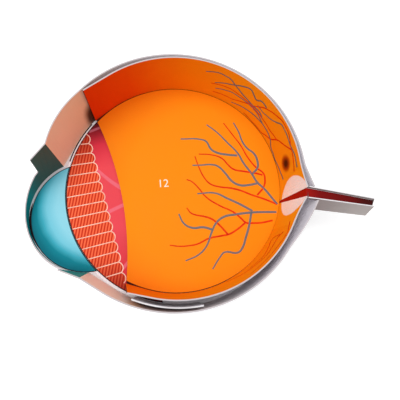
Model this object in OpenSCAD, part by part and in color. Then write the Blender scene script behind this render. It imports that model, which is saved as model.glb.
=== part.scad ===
// Half-eye anatomy model, folded and glued from printed card.
// Two nested shallow trays lie open side up: the outer one is the eyeball's white coat with the
// cornea at its front, the inner one is the retina, and the optic nerve leads out at the back.
// The origin is the centre of the eyeball's wall, on the underside of the base board.
// +X runs along the optical axis from the cornea to the back of the eye, +Z out of the open side.

/* [Card] */
// Thickness of the card of the walls and of the retina tray
card_t = 0.8; // [0.6:0.1:1.3]
// Thickness of the base board
base_t = 1.6; // [1:0.2:3]
// Thickness of the printed sheets on the base board
sheet_t = 0.5; // [0.3:0.1:0.8]
// Thickness of the folded card of the optic nerve
nerve_t = 0.6; // [0.4:0.1:0.8]
// Seam left between two glued pieces of the same tray
seam = 0.1; // [0.05:0.05:0.2]
// Clearance between the lift-out retina tray and what it slides past
clearance = 0.4; // [0.3:0.05:0.6]

/* [Walls] */
// Height of every rim above the table
rim_h = 40; // [34:1:46]
// How far the outer wall leans out between its foot and its rim, on the average
wall_flare = 1.65; // [1.3:0.05:2]
// How far the rim's circle sits forward of the foot's circle
rim_forward = 1.9; // [1:0.1:2.2]
// How far the rim's circle sits to the upper side of the foot's circle
rim_side = 1.2; // [0.8:0.1:1.6]
// Angle off the optical axis at which the outer wall leaves its circle and runs straight
straight_angle = 42; // [38:1:46]
// How far the upper wall's rim bows out of its circle near the limbus
rim_bow = 0.8; // [0:0.1:1.5]
// Angle off the optical axis at which the upper wall's rim starts to bow out
rim_bow_angle = 56; // [48:1:62]
// How far the upper limbus fold's rim stands out from its foot
fold_out_upper = 2.4; // [1.5:0.1:3.5]
// How far the upper limbus fold's rim stands forward of its foot
fold_forward_upper = 0.8; // [0:0.1:1.5]
// How far the lower limbus fold's rim stands out from its foot
fold_out_lower = 4.1; // [2:0.1:5]
// How far the lower limbus fold's rim stands back of its foot
fold_back_lower = 0.6; // [0:0.1:1]
// How far the outer wall's rim bends out above the nerve
throat_upper = 6.6; // [5:0.2:8]
// How far the outer wall's rim bends out below the nerve
throat_lower = 9; // [7:0.2:10]
// Angle above the nerve over which the outer wall's rim bends out
throat_angle_upper = 13.5; // [12:0.5:18]
// Angle below the nerve over which the outer wall's rim bends out
throat_angle_lower = 27; // [22:1:32]
// How far the base board runs out past the foot of the walls
base_lip = 0.8; // [0.4:0.2:3]

/* [Retina tray] */
// Radius of the retina's floor
tray_r = 70.4; // [62:0.4:80]
// How far the retina's wall leans out between its foot and its rim
tray_flare = 2.6; // [2:0.2:3.4]
// Angle off the optical axis at which the retina's wall ends, toward the lens
opening_angle = 51; // [46:1:56]
// Angle off the optical axis at which the foot of the retina's wall leaves its circle
tray_foot_straight = 62; // [58:1:70]
// Angle off the optical axis at which the rim of the retina's wall leaves its circle
tray_rim_straight = 66.5; // [64:0.5:70]
// Angle off the optical axis at which the upper wall's rim ends
rim_end_upper = 52.3; // [51:0.1:57]
// Angle off the optical axis at which the lower wall's rim ends
rim_end_lower = 55.7; // [53:0.1:58]
// Depth of the hollow in the floor's front edge
edge_dip = 7; // [3:0.5:12]
// How far the tray is turned in the eyeball
tray_turn = -4; // [-8:1:4]
// Width of the gap between the rims where the tray sits closest to the outer wall
gap_narrow = 0.5; // [0.5:0.1:1.2]
// Width of the gap between the rims on the opposite side
gap_wide = 6.2; // [5.6:0.1:7]
// Direction, off the optical axis, in which the tray sits closest to the outer wall
gap_angle = 42; // [37:1:47]
// Thickness of the foam pads that carry the tray
pad_t = 1.7; // [1.2:0.1:4]
// Radius of a foam pad
pad_r = 9; // [5:1:12]
// Distance of the pads from the edge of the retina's floor
pad_inset = 15; // [6:1:22]

/* [Cornea] */
// Radius of the cornea's wall at its foot
cornea_r = 37; // [35.4:0.2:38.6]
// How far the cornea's centre lies inside the foot of the outer wall
cornea_inset = 14; // [12.4:0.2:15]
// Length of each full-height tab beside the outer wall
tab_length = 12.6; // [9:0.2:16]
// Angle between the rim of a tab and the optical axis
tab_turn = 37; // [30:1:42]
// How much further round the cornea the upper tab's foot reaches than its rim, as an angle
tab_skew = 5; // [0:0.5:8]
// Height of the cornea's wall above the base board beside the upper tab
cornea_high = 17.8; // [12:0.2:26]
// Height of the cornea's wall above the base board beside the lower tab
cornea_low = 3; // [2:0.5:8]
// How sharply the cornea's rim drops away from the upper tab, where 1 is an even slope
cornea_drop = 3.2; // [1:0.2:5]

/* [Printed sheets] */
// Bare margin of the base board between the walls and the printed sheets
sheet_margin = 1.8; // [1:0.2:4]
// Bare margin beside the cornea's sheet on the optical axis
cornea_margin = 1; // [0.6:0.1:2]
// Width of the striped band on the optical axis
band_width = 24.2; // [18:0.2:30]
// Distance between two scallops of the striped band
scallop_pitch = 6.9; // [5:0.1:10]
// How far each scallop bulges toward the lens
scallop_bulge = 2; // [0.8:0.2:3]
// How far the lens sheet runs in under the retina tray
lens_tuck = 8; // [4:1:14]

/* [Optic nerve] */
// Angle of the nerve in the tray, off the line to the back
nerve_turn = -20.5; // [-30:0.5:-10]
// Length of the nerve beyond the retina's rim
nerve_length = 41.7; // [25:0.1:60]
// Half the width of the nerve over its ridges at the eyeball
ridge_root = 3.7; // [3.4:0.1:6]
// Half the width of the nerve over its ridges at its far end
ridge_end = 2.7; // [2.4:0.1:4]
// Depth of the printed strip below the ridges
strip_depth = 2; // [1:0.25:4]
// Height of the sheath's side flaps at its far end
flap_drop = 10.5; // [7:0.5:16]
// Height of the sheath's side flaps at the eyeball
flap_drop_root = 13; // [8:0.5:18]
// How far the lower edge of the lower side's flap stands out from its ridge
flap_out = 3.8; // [1.5:0.1:6]
// How far the lower edge of the upper side's flap stands out from its ridge
flap_out_upper = 1; // [0.8:0.1:3]
// How far the retina's wall bends out to meet the nerve, measured at the rim
throat_out = 3.8; // [2:0.1:4]
// Angle beside the nerve over which the retina's wall bends out
throat_angle = 16; // [12:1:22]
// Half the width of the printed strip where it meets the retina's floor
strip_tip = 0.8; // [0.5:0.1:1.5]

/* [Support strip] */
// Gap between the support strip and the tray's rim
support_gap = 3.3; // [2.4:0.1:3.6]
// Angle from the back at which the strip starts, on the lower side
support_from = 96; // [90:1:110]
// Angle from the back at which the strip ends
support_to = 127; // [118:1:130]

/* [Hidden] */
$fn = 160;

// Levels above the table
tray_z = base_t + pad_t;
floor_z = tray_z + card_t;
strip_z = rim_h - strip_depth;

// Where the tray sits, and the outer wall that goes round it
tray_off = (gap_wide - gap_narrow) / 2;
tray_back = tray_off * cos(gap_angle) - rim_forward;
tray_side = tray_off * sin(gap_angle) + rim_side;
tray_rim_r = tray_r + tray_flare;
wall_rim_r = tray_rim_r + card_t + (gap_wide + gap_narrow) / 2;
wall_r = wall_rim_r - wall_flare;
wall_h = rim_h - base_t;
cornea_x = wall_r - cornea_inset;

// The printed sheets
eye_sheet_r = wall_r - sheet_margin;
cornea_sheet_r = cornea_r - cornea_margin;
band_x = eye_sheet_r - band_width;
edge_x = tray_r * cos(opening_angle);
lens_back_x = edge_x - edge_dip - lens_tuck;

// The nerve: the strip lies in the sheath with a clearance on each side
strip_root = ridge_root - nerve_t - clearance;
strip_end = ridge_end - nerve_t - clearance;
throat_x = tray_rim_r + throat_out;
nerve_reach = throat_x + nerve_length;
throat_y = strip_root + seam;

// The sheath's channel starts behind the retina's wall and its flaps start behind the outer wall
sheath_x = throat_x + card_t + clearance;
flap_x = wall_rim_r + throat_lower - rim_forward + clearance;
throat_slope = (throat_lower + wall_flare - rim_forward) / wall_h;

far = 4 * tray_r;

// The limbus: where the outer wall's straight end meets the cornea's wall, with both walls
// moved out by d
function straight_dir() = 180 - straight_angle;
function limbus(d) =
    let (a = straight_dir(),
         q = [(wall_r + d) * cos(a) + cornea_x, (wall_r + d) * sin(a)],
         t = [-sin(a), cos(a)],
         b = q * t,
         s = -b - sqrt(b * b - q * q + pow(cornea_r + d, 2)))
    [q[0] + s * t[0] - cornea_x, q[1] + s * t[1]];
limbus_in = limbus(0);
limbus_out = limbus(card_t);
limbus_angle = atan2(limbus_in[1], limbus_in[0] + cornea_x);
tab_sweep = tab_length / cornea_r * 180 / PI;

// The limbus fold of a side leans out: its foot and its rim, on the card's face that is t out
function fold_foot(t, side) =
    let (p = t == 0 ? limbus_in : limbus_out)
    [p[0], side * p[1]];
function fold_rim(t, side) =
    fold_foot(t, side) + (side > 0 ? [-fold_forward_upper, fold_out_upper]
                                   : [fold_back_lower, -fold_out_lower]);

// Angle, seen from the eyeball's centre, at which the nerve crosses the outer wall
function nerve_hit() =
    let (a = tray_turn + nerve_turn,
         b = tray_back * cos(a) + tray_side * sin(a),
         s = -b + sqrt(b * b - tray_back * tray_back - tray_side * tray_side + wall_r * wall_r))
    atan2(tray_side + s * sin(a), tray_back + s * cos(a));

// Half the width of the nerve over its ridges at a distance x from the tray's centre
function ridge(x) =
    ridge_root + (ridge_end - ridge_root) * (x - throat_x) / (nerve_reach - throat_x);

// Distance from the origin, at an angle, to a circle of radius r round the rim's centre
function to_rim_circle(angle, r) =
    let (c = [-rim_forward, rim_side],
         b = c * [cos(angle), sin(angle)])
    b + sqrt(b * b - c * c + r * r);

module in_tray() {
    translate([tray_back, tray_side, 0]) rotate([0, 0, tray_turn]) children();
}

module in_nerve() {
    in_tray() rotate([0, 0, nerve_turn]) children();
}

// A bent card: a and b are its long edges on the front face, da and db the way from each of
// their points to the back face
module bent_card(a, b, da, db) {
    n = len(a);
    points = [
        for (i = [0 : n - 1]) each [a[i], b[i], b[i] + db[i], a[i] + da[i]]
    ];
    ends = [[0, 1, 2, 3], [4 * n - 1, 4 * n - 2, 4 * n - 3, 4 * n - 4]];
    sides = [
        for (i = [0 : n - 2], k = [0 : 3])
            let (p = 4 * i + k, q = 4 * i + (k + 1) % 4)
            each [[p, p + 4, q + 4], [p, q + 4, q]]
    ];
    polyhedron(points, concat(ends, sides));
}

/* ---- Outer tray ---- */

// What the walls stand on, moved out by d. The straight edges lie a hair inside the circles, so
// that they cut them cleanly instead of grazing them
hair = 0.02;
module foot_plan(d) {
    leave = (wall_r + d - hair) * [cos(straight_dir()), sin(straight_dir())];
    corner = limbus(d - hair);
    circle(wall_r + d);
    translate([-cornea_x, 0]) circle(cornea_r + d);
    polygon([[0, 0], leave, corner, [corner[0], -corner[1]], [leave[0], -leave[1]]]);
}

module base_board() {
    color("white") linear_extrude(base_t) foot_plan(card_t + base_lip);
}

module scallops() {
    top = sqrt(eye_sheet_r * eye_sheet_r - band_x * band_x);
    lobe_r = (pow(scallop_pitch / 2, 2) + pow(scallop_bulge, 2)) / (2 * scallop_bulge);
    count = floor(2 * top / scallop_pitch);
    translate([-far - band_x, -far]) square([far, 2 * far]);
    for (i = [0 : count - 1])
        translate([-band_x + scallop_bulge - lobe_r, top - (i + 0.5) * scallop_pitch])
            circle(lobe_r, $fn = 48);
}

module aqueous_sheet() {
    color("lightskyblue") translate([0, 0, base_t]) linear_extrude(sheet_t)
        difference() {
            translate([-cornea_x, seam - cornea_margin]) circle(cornea_sheet_r);
            circle(eye_sheet_r + seam);
        }
}

module ciliary_sheet() {
    color("orangered") translate([0, 0, base_t]) linear_extrude(sheet_t)
        intersection() {
            circle(eye_sheet_r);
            scallops();
        }
}

module lens_sheet() {
    color("crimson") translate([0, 0, base_t]) linear_extrude(sheet_t)
        difference() {
            intersection() {
                circle(eye_sheet_r);
                translate([-far - lens_back_x, -far]) square([far, 2 * far]);
            }
            scallops();
            support_plan(seam);
        }
}

// The outer wall's plan on the side of the sign, on the card's face that is t out: its foot and
// its rim at an angle from the back. The rim bends out beside the nerve, and on the upper side
// it bows out near the limbus
function wall_foot(angle, t) = (wall_r + t) * [cos(angle), sin(angle)];
function wall_rim(angle, t, side) =
    let (reach = side > 0 ? throat_angle_upper : throat_angle_lower,
         near = max(0, 1 - abs(angle - nerve_hit()) / reach),
         out = side > 0 ? throat_upper : throat_lower,
         fold = fold_rim(0, 1),
         past = (angle - 180 + rim_bow_angle) / (atan2(fold[1], fold[0]) - 180 + rim_bow_angle),
         bow = past > 0 && past < 1 ? rim_bow * sin(180 * past) : 0)
    (to_rim_circle(angle, wall_rim_r + t) + out * pow(near, 1.3) + bow)
    * [cos(angle), sin(angle)];

// The rest of the wall's plan, where its foot runs straight to the fold. The upper rim stays
// round and the lower rim is straight
function straight_foot(t, side) =
    let (p = wall_foot(side * straight_dir(), t), q = fold_foot(t, side))
    [for (i = [1 : straight_steps]) p + i / straight_steps * (q - p)];
function straight_rim(t, side) =
    let (start = side * straight_dir(),
         p = wall_rim(start, t, side),
         q = fold_rim(t, side),
         end = side * atan2(side * q[1], q[0]),
         miss = q - wall_rim(end, t, side))
    [for (i = [1 : straight_steps])
        let (s = i / straight_steps)
        side > 0 ? wall_rim(start + s * (end - start), t, side) + s * miss : p + s * (q - p)];

// Angles of the wall's ruled lines, from the nerve to the side's limbus
wall_step = 2.5;
straight_steps = 8;
function wall_angles(side) =
    let (span = side * straight_dir() - nerve_hit(),
         n = ceil(abs(span) / wall_step))
    [for (i = [0 : n]) nerve_hit() + span * i / n];

function at_height(path, z) = [for (p = path) [p[0], p[1], z]];
function turned_round(list) = [for (i = [len(list) - 1 : -1 : 0]) list[i]];

// A side of the outer wall as a bent card, from the nerve to the limbus
module sclera_wall(side) {
    angles = wall_angles(side);
    face = function (t, on_rim)
        let (curve = [for (a = angles) on_rim ? wall_rim(a, t, side) : wall_foot(a, t)],
             path = concat(curve, on_rim ? straight_rim(t, side) : straight_foot(t, side)))
        at_height(side > 0 ? turned_round(path) : path, on_rim ? rim_h : base_t);
    foot = face(0, false);
    rim = face(0, true);
    bent_card(foot, rim, face(card_t, false) - foot, face(card_t, true) - rim);
}

// The notch in the outer wall's rim that the nerve's sheath runs through
module nerve_notch() {
    half = ridge_root + clearance;
    in_nerve() translate([throat_x - 2 * card_t, -half, rim_h - channel_depth - clearance])
        cube([far, 2 * half, rim_h]);
}

module sclera_wall_upper() {
    color("lightsalmon") difference() {
        sclera_wall(1);
        nerve_notch();
    }
}

module sclera_wall_lower() {
    color("lightsalmon") difference() {
        sclera_wall(-1);
        nerve_notch();
    }
}

// The cornea's wall, all one card: it folds off the outer wall at each limbus as a flat tab of
// full height, and between the two free ends of the tabs it is low. Its ruled lines run from
// the lower limbus round to the upper one
tab_steps = 4;
low_steps = 48;
module cornea_wall() {
    centre = [-cornea_x, 0];
    sweep_upper = tab_sweep + tab_skew;
    low_span = 360 - 2 * limbus_angle - tab_sweep - sweep_upper;
    last = 2 * tab_steps + low_steps;
    tab_dir = function (side) [-cos(tab_turn), -side * sin(tab_turn)];
    tab_out = function (side) [-sin(tab_turn), side * cos(tab_turn)];
    // How far along its tab a ruled line lies, from 0 at the limbus to 1 at the free end
    along = function (i) min(1, min(i, last - i) / tab_steps);
    low_at = function (i) min(1, max(0, (i - tab_steps) / low_steps));
    angle = function (i)
        i < tab_steps ? 360 - limbus_angle - tab_sweep * along(i)
        : i > last - tab_steps ? limbus_angle + sweep_upper * along(i)
        : 360 - limbus_angle - tab_sweep - low_span * low_at(i);
    radial = function (i) [cos(angle(i)), sin(angle(i))];
    foot = function (i, t)
        i == 0 ? fold_foot(t, -1) : i == last ? fold_foot(t, 1)
        : centre + (cornea_r + t) * radial(i);
    free_end = function (t, side)
        fold_rim(0, side) + tab_length * tab_dir(side) + t * tab_out(side);
    free_r = function (side) norm(free_end(0, side) - centre);
    rim = function (i, t)
        let (side = i <= tab_steps ? -1 : 1,
             u = low_at(i),
             r = (1 - u) * free_r(-1) + u * free_r(1))
        i <= tab_steps || i >= last - tab_steps
            ? fold_rim(t, side) + (free_end(t, side) - fold_rim(t, side)) * along(i)
            : centre + (r + t) * radial(i);
    height = function (i)
        cornea_low + (cornea_high - cornea_low) * pow(low_at(i), cornea_drop);
    mid = function (i, t) foot(i, t) + (rim(i, t) - foot(i, t)) * height(i) / wall_h;
    points = [for (i = [0 : last]) each [
        concat(foot(i, 0), base_t), concat(mid(i, 0), base_t + height(i)),
        concat(rim(i, 0), rim_h), concat(rim(i, card_t), rim_h),
        concat(mid(i, card_t), base_t + height(i)), concat(foot(i, card_t), base_t)
    ]];
    full = [0, 1, 2, 3, 4, 5];
    low = [0, 1, 4, 5];
    sides = [for (i = [0 : last - 1])
        let (ring = (i < tab_steps || i >= last - tab_steps) ? full : low)
        for (k = [0 : len(ring) - 1])
            let (p = 6 * i + ring[k], q = 6 * i + ring[(k + 1) % len(ring)])
            each [[p, p + 6, q + 6], [p, q + 6, q]]
    ];
    start = function (i) [[6 * i + 1, 6 * i + 2, 6 * i + 3], [6 * i + 1, 6 * i + 3, 6 * i + 4]];
    stop = function (i) [for (f = start(i)) [f[2], f[1], f[0]]];
    foot_start = [[0, 1, 4], [0, 4, 5]];
    foot_stop = [for (f = foot_start) [f[2] + 6 * last, f[1] + 6 * last, f[0] + 6 * last]];
    color("teal") polyhedron(points, concat(
        sides, foot_start, start(0), stop(tab_steps), start(last - tab_steps), stop(last),
        foot_stop
    ));
}

support_r = tray_rim_r + card_t - tray_side + support_gap;

// What the support strip stands on, with a margin d round it
module support_plan(d) {
    more = d / support_r * 180 / PI;
    rotate([0, 0, -support_to - more])
        difference() {
            intersection() {
                circle(support_r + card_t + d);
                sector(support_to - support_from + 2 * more);
            }
            circle(support_r - d);
        }
}

module sector(angle) {
    polygon(concat([[0, 0]], [for (i = [0 : 4]) far * [cos(angle * i / 4), sin(angle * i / 4)]]));
}

module support_strip() {
    color("white") translate([0, 0, base_t]) linear_extrude(wall_h - seam) support_plan(0);
}

// Outline of the nerve's sheath across the nerve: a flat-bottomed channel between two ridges,
// with a flap sloping down and out from each ridge. w is half its width over the ridges, drop
// the height of the flaps, and out how far the upper and the lower one stand out
channel_depth = strip_depth + 2 * nerve_t + seam;
function sheath_half(w, drop, out) =
    let (bed = strip_z - nerve_t,
         lean = out / drop,
         thick = nerve_t / cos(atan(lean)),
         inner = w + lean * (rim_h - bed + nerve_t) - thick)
    [[inner, bed - nerve_t], [w + out - thick, rim_h - drop], [w + out, rim_h - drop],
     [w, rim_h], [w - nerve_t, rim_h], [w - nerve_t, bed]];
function sheath_section(w, drop, out) =
    concat(
        sheath_half(w, drop, out[0]),
        [for (p = turned_round(sheath_half(w, drop, out[1]))) [-p[0], p[1]]]
    );

// Up to the outer wall the sheath is only its channel, with its flaps cut short
module nerve_sheath() {
    flaps = [flap_out_upper, flap_out];
    short = [seam, seam];
    stations = [sheath_x, flap_x - seam, flap_x, nerve_reach];
    sections = [
        sheath_section(ridge(stations[0]), channel_depth, short),
        sheath_section(ridge(stations[1]), channel_depth, short),
        sheath_section(ridge(stations[2]), flap_drop_root, flaps),
        sheath_section(ridge_end, flap_drop, flaps)
    ];
    // The flaps' ends lean like the outer wall beside them
    lean = [0, throat_slope, throat_slope, 0];
    n = len(sections[0]);
    last = len(stations) - 1;
    points = [
        for (k = [0 : last], p = sections[k])
            [stations[k] - lean[k] * (rim_h - p[1]), p[0], p[1]]
    ];
    caps = [[for (i = [0 : n - 1]) i], [for (i = [n - 1 : -1 : 0]) last * n + i]];
    sides = [
        for (k = [0 : last - 1], i = [0 : n - 1])
            let (j = (i + 1) % n, p = k * n)
            each [[p + i, p + n + i, p + n + j], [p + i, p + n + j, p + j]]
    ];
    color("gainsboro") in_nerve() polyhedron(points, concat(caps, sides));
}

// A foam pad under the retina's floor: x is its distance behind the eyeball's centre, and side
// is 1 above the optical axis and -1 below it
module foam_pad(x, side) {
    reach = tray_r - pad_inset - pad_r;
    dx = x - tray_back;
    color("gray") translate([x, tray_side + side * sqrt(reach * reach - dx * dx), base_t])
        cylinder(h = pad_t, r = pad_r);
}
// The front pads lie close behind the lens sheet, the back ones as far behind the centre
pad_x = lens_back_x - pad_r - clearance;

module pad_front_upper() { foam_pad(-pad_x, 1); }
module pad_front_lower() { foam_pad(-pad_x, -1); }
module pad_back_upper() { foam_pad(2 * tray_back + pad_x, 1); }
module pad_back_lower() { foam_pad(2 * tray_back + pad_x, -1); }

/* ---- Retina tray ---- */

// A point at an angle in the tray's frame on a line that follows a circle of radius r, and
// leaves it at an angle off the optical axis to run straight along the tangent
function tray_line(r, angle, straight) =
    let (leave = sign(angle) * (180 - straight),
         past = abs(angle) > 180 - straight)
    (past ? r / cos(angle - leave) : r) * [cos(angle), sin(angle)];

module retina_floor() {
    half = tray_r * sin(opening_angle);
    edge_r = (half * half + edge_dip * edge_dip) / (2 * edge_dip);
    leave = 180 - tray_foot_straight;
    corner = tray_line(tray_r - seam, leave + 1.2 * (tray_foot_straight - opening_angle),
                       tray_foot_straight);
    start = (tray_r - seam - hair) * [cos(leave), sin(leave)];
    color("orange") translate([0, 0, tray_z]) in_tray() linear_extrude(card_t)
        difference() {
            union() {
                circle(tray_r - seam);
                polygon([[0, 0], start, corner, [corner[0], -corner[1]], [start[0], -start[1]]]);
            }
            translate([edge_dip - edge_x - edge_r, 0]) circle(edge_r, $fn = 400);
        }
}

// A side of the retina's wall as a bent card, from the throat beside the nerve to the front.
// Its rim ends a little further back than its foot
tray_step = 2;
module retina_wall(side, rim_end) {
    start = nerve_turn + side * throat_angle;
    leave = side * (180 - tray_rim_straight);
    n = ceil(abs(leave - start) / tray_step);
    m = ceil((tray_rim_straight - opening_angle) / tray_step);
    to_end = function (end) [for (i = [1 : m]) leave + (side * (180 - end) - leave) * i / m];
    body = [for (i = [0 : n]) start + (leave - start) * i / n];
    line = function (t, on_rim)
        let (angles = concat(body, to_end(on_rim ? rim_end : opening_angle)),
             path = [for (a = angles) on_rim
                 ? tray_line(tray_rim_r + t, a, tray_rim_straight)
                 : tray_line(tray_r + t, a, tray_foot_straight)])
        at_height(side > 0 ? turned_round(path) : path, on_rim ? rim_h : tray_z);
    foot = line(0, false);
    rim = line(0, true);
    color("darkorange") in_tray()
        bent_card(foot, rim, line(card_t, false) - foot, line(card_t, true) - rim);
}

module retina_wall_upper() { retina_wall(1, rim_end_upper); }
module retina_wall_lower() { retina_wall(-1, rim_end_lower); }

// The wall's end beside the nerve: its foot stays on the floor's circle while its rim bends
// out to the nerve
throat_steps = 10;
function foot_path() = [
    for (i = [0 : throat_steps])
        let (tip = atan2(strip_tip + seam, tray_r),
             a = throat_angle + (tip - throat_angle) * i / throat_steps)
        [tray_r * cos(a), tray_r * sin(a), tray_z]
];
function rim_path() = [
    for (i = [0 : throat_steps])
        let (u = i / throat_steps,
             start = tray_rim_r * [cos(throat_angle), sin(throat_angle)],
             bend = start + tray_r / 7 * [sin(throat_angle), -cos(throat_angle)],
             p = (1 - u) * (1 - u) * start + 2 * u * (1 - u) * bend
                 + u * u * [throat_x, throat_y])
        [p[0], p[1], rim_h]
];
// The way out through the card at each point of a path that runs toward the nerve
function outward(path, t) = [
    for (i = [0 : len(path) - 1])
        let (d = path[min(i + 1, len(path) - 1)] - path[max(i - 1, 0)],
             n = t / norm([d[0], d[1]]))
        [-d[1] * n, d[0] * n, 0]
];

module optic_disc_half() {
    foot = foot_path();
    rim = rim_path();
    bent_card(foot, rim, outward(foot, card_t), outward(rim, card_t));
}

module optic_disc_upper() {
    color("seashell") in_nerve() optic_disc_half();
}

module optic_disc_lower() {
    color("seashell") in_nerve() mirror([0, 1, 0]) optic_disc_half();
}

// The printed strip rises from the floor's edge through the slit in the wall, folds at the
// rim and runs out along the sheath
module nerve_strip() {
    rise = atan2(strip_z - tray_z, throat_x - tray_r);
    fold = rise / 2;
    path = [[tray_r + seam, tray_z], [throat_x, strip_z], [nerve_reach, strip_z]];
    half = [strip_tip, strip_root, strip_end];
    back = nerve_t * [
        [sin(rise), -cos(rise)],
        [sin(fold), -cos(fold)] / cos(fold),
        [0, -1]
    ];
    left = [for (i = [0 : 2]) [path[i][0], half[i], path[i][1]]];
    right = [for (i = [0 : 2]) [path[i][0], -half[i], path[i][1]]];
    down = [for (b = back) [b[0], 0, b[1]]];
    color("firebrick") in_nerve() bent_card(left, right, down, down);
}

base_board();
aqueous_sheet();
ciliary_sheet();
lens_sheet();
sclera_wall_upper();
sclera_wall_lower();
cornea_wall();
support_strip();
nerve_sheath();
pad_front_upper();
pad_front_lower();
pad_back_upper();
pad_back_lower();
retina_floor();
retina_wall_upper();
retina_wall_lower();
optic_disc_upper();
optic_disc_lower();
nerve_strip();
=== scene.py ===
# %% [markdown]
# # A half-eye anatomy model of printed card
#
# The real object is folded and glued from printed card. Two shallow trays are nested in each
# other and lie open side up: the outer one is the white coat of the eye with the cornea at its
# front, and the inner one is the retina, which carries the blood vessels. The folded sheath of
# the optic nerve leaves at the back.
#
# The card itself is already built as exact solids, so this lesson brings them in as a fixed
# frame. What is left is what a printing press did, colours, stripes, outlines and vessels,
# together with some painted shade and painted shadow.

# %% Load the imported model
import math
import bpy
from mathutils import Matrix, Vector


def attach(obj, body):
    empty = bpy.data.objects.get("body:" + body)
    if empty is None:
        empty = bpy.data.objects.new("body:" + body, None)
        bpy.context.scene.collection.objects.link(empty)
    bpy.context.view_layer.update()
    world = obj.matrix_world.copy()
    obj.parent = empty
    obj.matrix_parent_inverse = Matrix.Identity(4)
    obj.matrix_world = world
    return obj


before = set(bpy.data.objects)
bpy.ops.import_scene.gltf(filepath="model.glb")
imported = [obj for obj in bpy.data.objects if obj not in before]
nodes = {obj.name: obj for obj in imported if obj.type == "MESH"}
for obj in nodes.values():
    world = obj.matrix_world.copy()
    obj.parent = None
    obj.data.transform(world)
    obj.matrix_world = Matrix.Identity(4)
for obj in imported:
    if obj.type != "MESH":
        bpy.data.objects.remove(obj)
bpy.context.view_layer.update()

bpy.ops.object.select_all(action="DESELECT")
print("nodes:", sorted(nodes))

# %% [markdown]
# ## Sizes that the looks share with the card
#
# A print lines up with the card it is on, so the sizes that matter are named once, in
# millimetres, and turned into metres where they are used. Two frames help: the eyeball's own,
# with its origin at the centre of the outer wall, and the retina tray's, which sits a little
# aside and is turned by a few degrees.

# %% Name the sizes
MM = 0.001
RIM_HEIGHT = 40.0
SCLERA_RADIUS = 75.5
TRAY_CENTRE = (0.218, 3.107)
TRAY_TURN = -4.0
TRAY_RADIUS = 70.4
TRAY_FLARE = 2.6
TRAY_FOOT = 3.3
FLOOR_TOP = 4.1
SHEET_TOP = 2.1
CORNEA_CENTRE = (-61.5, 0.0)
AQUEOUS_CENTRE = (-61.5, -0.9)
AQUEOUS_RADIUS = 36.0
EYE_SHEET_RADIUS = 73.7
NERVE_TURN = -20.5
SCALLOP_PITCH = 6.9
SCALLOP_BULGE = 2.0
SCALLOP_LINE = -49.5
SCALLOP_TOP = math.sqrt(EYE_SHEET_RADIUS ** 2 - SCALLOP_LINE ** 2)


def tray_point(x, y, z):
    """A point of the retina tray, in metres in the eyeball's frame."""
    turn = math.radians(TRAY_TURN)
    return Vector((
        TRAY_CENTRE[0] + x * math.cos(turn) - y * math.sin(turn),
        TRAY_CENTRE[1] + x * math.sin(turn) + y * math.cos(turn),
        z,
    )) * MM


def wall_radius(z):
    """The retina wall leans out, so its radius grows with height."""
    return TRAY_RADIUS + TRAY_FLARE * (z - TRAY_FOOT) / (RIM_HEIGHT - TRAY_FOOT)


def wall_point(angle, z, proud=0.0):
    """A point on the inner face of the retina wall, or standing proud of it."""
    a = math.radians(angle)
    r = wall_radius(z) - proud
    return tray_point(r * math.cos(a), r * math.sin(a), z)


print("retina wall: foot radius", TRAY_RADIUS, "mm, rim radius", wall_radius(RIM_HEIGHT), "mm")

# %% [markdown]
# ## Inks
#
# Colours on a print are easiest to note down as they look on a screen, 0 to 255. Blender
# shades with linear light, so one helper converts them. The plain inks of the model are named
# here, and the others are given where they are used.

# %% Name the inks
def ink(red, green, blue):
    """A screen colour, 0 to 255, as linear light with full alpha."""
    def linear(v):
        v /= 255.0
        return v / 12.92 if v <= 0.04045 else ((v + 0.055) / 1.055) ** 2.4
    return (linear(red), linear(green), linear(blue), 1.0)


INKS = {
    "card": ink(238, 235, 238),
    "card_shade": ink(206, 198, 202),
    "cut_edge": ink(206, 198, 200),
    "burnt_edge": ink(104, 34, 10),
    "fold": ink(58, 18, 4),
    "board": ink(252, 248, 252),
    "dark_line": ink(22, 12, 16),
    "vein": ink(112, 116, 122),
    "artery": ink(218, 46, 8),
    "macula": ink(70, 16, 0),
    "macula_ring": ink(176, 70, 2),
    "disc": ink(255, 252, 252),
    "number": ink(255, 244, 228),
    "net": ink(255, 216, 196),
    "foam": ink(222, 220, 214),
}
print(len(INKS), "plain inks")

# %% [markdown]
# ## Helpers for shader nodes
#
# A procedural material is a small graph. Two helpers keep the cells short: one adds a node and
# sets its values and links, the other adds a maths node and returns its output.

# %% Define the node helpers
def add(tree, kind, inputs=None, **settings):
    """Add a node; each input is a value or another node's output."""
    node = tree.nodes.new(kind)
    for key, value in settings.items():
        setattr(node, key, value)
    for key, value in (inputs or {}).items():
        if isinstance(value, bpy.types.NodeSocket):
            tree.links.new(value, node.inputs[key])
        else:
            node.inputs[key].default_value = value
    return node


def maths(tree, operation, *values):
    """Add a maths node and return its output."""
    return add(tree, "ShaderNodeMath", dict(enumerate(values)), operation=operation).outputs[0]


def fade(tree, value, start, end):
    """0 where value is at start, 1 where it is at end, smooth between."""
    node = add(tree, "ShaderNodeMapRange", {
        "Value": value, "From Min": start, "From Max": end, "To Min": 0.0, "To Max": 1.0,
    }, interpolation_type="SMOOTHSTEP")
    return node.outputs["Result"]


def blend(tree, mask, first, second, mode="MIX"):
    """Lay the second colour over the first where the mask is 1."""
    node = add(tree, "ShaderNodeMix", data_type="RGBA", blend_type=mode)
    for index, value in ((0, mask), (6, first), (7, second)):
        if isinstance(value, bpy.types.NodeSocket):
            tree.links.new(value, node.inputs[index])
        else:
            node.inputs[index].default_value = value
    return node.outputs[2]


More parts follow.
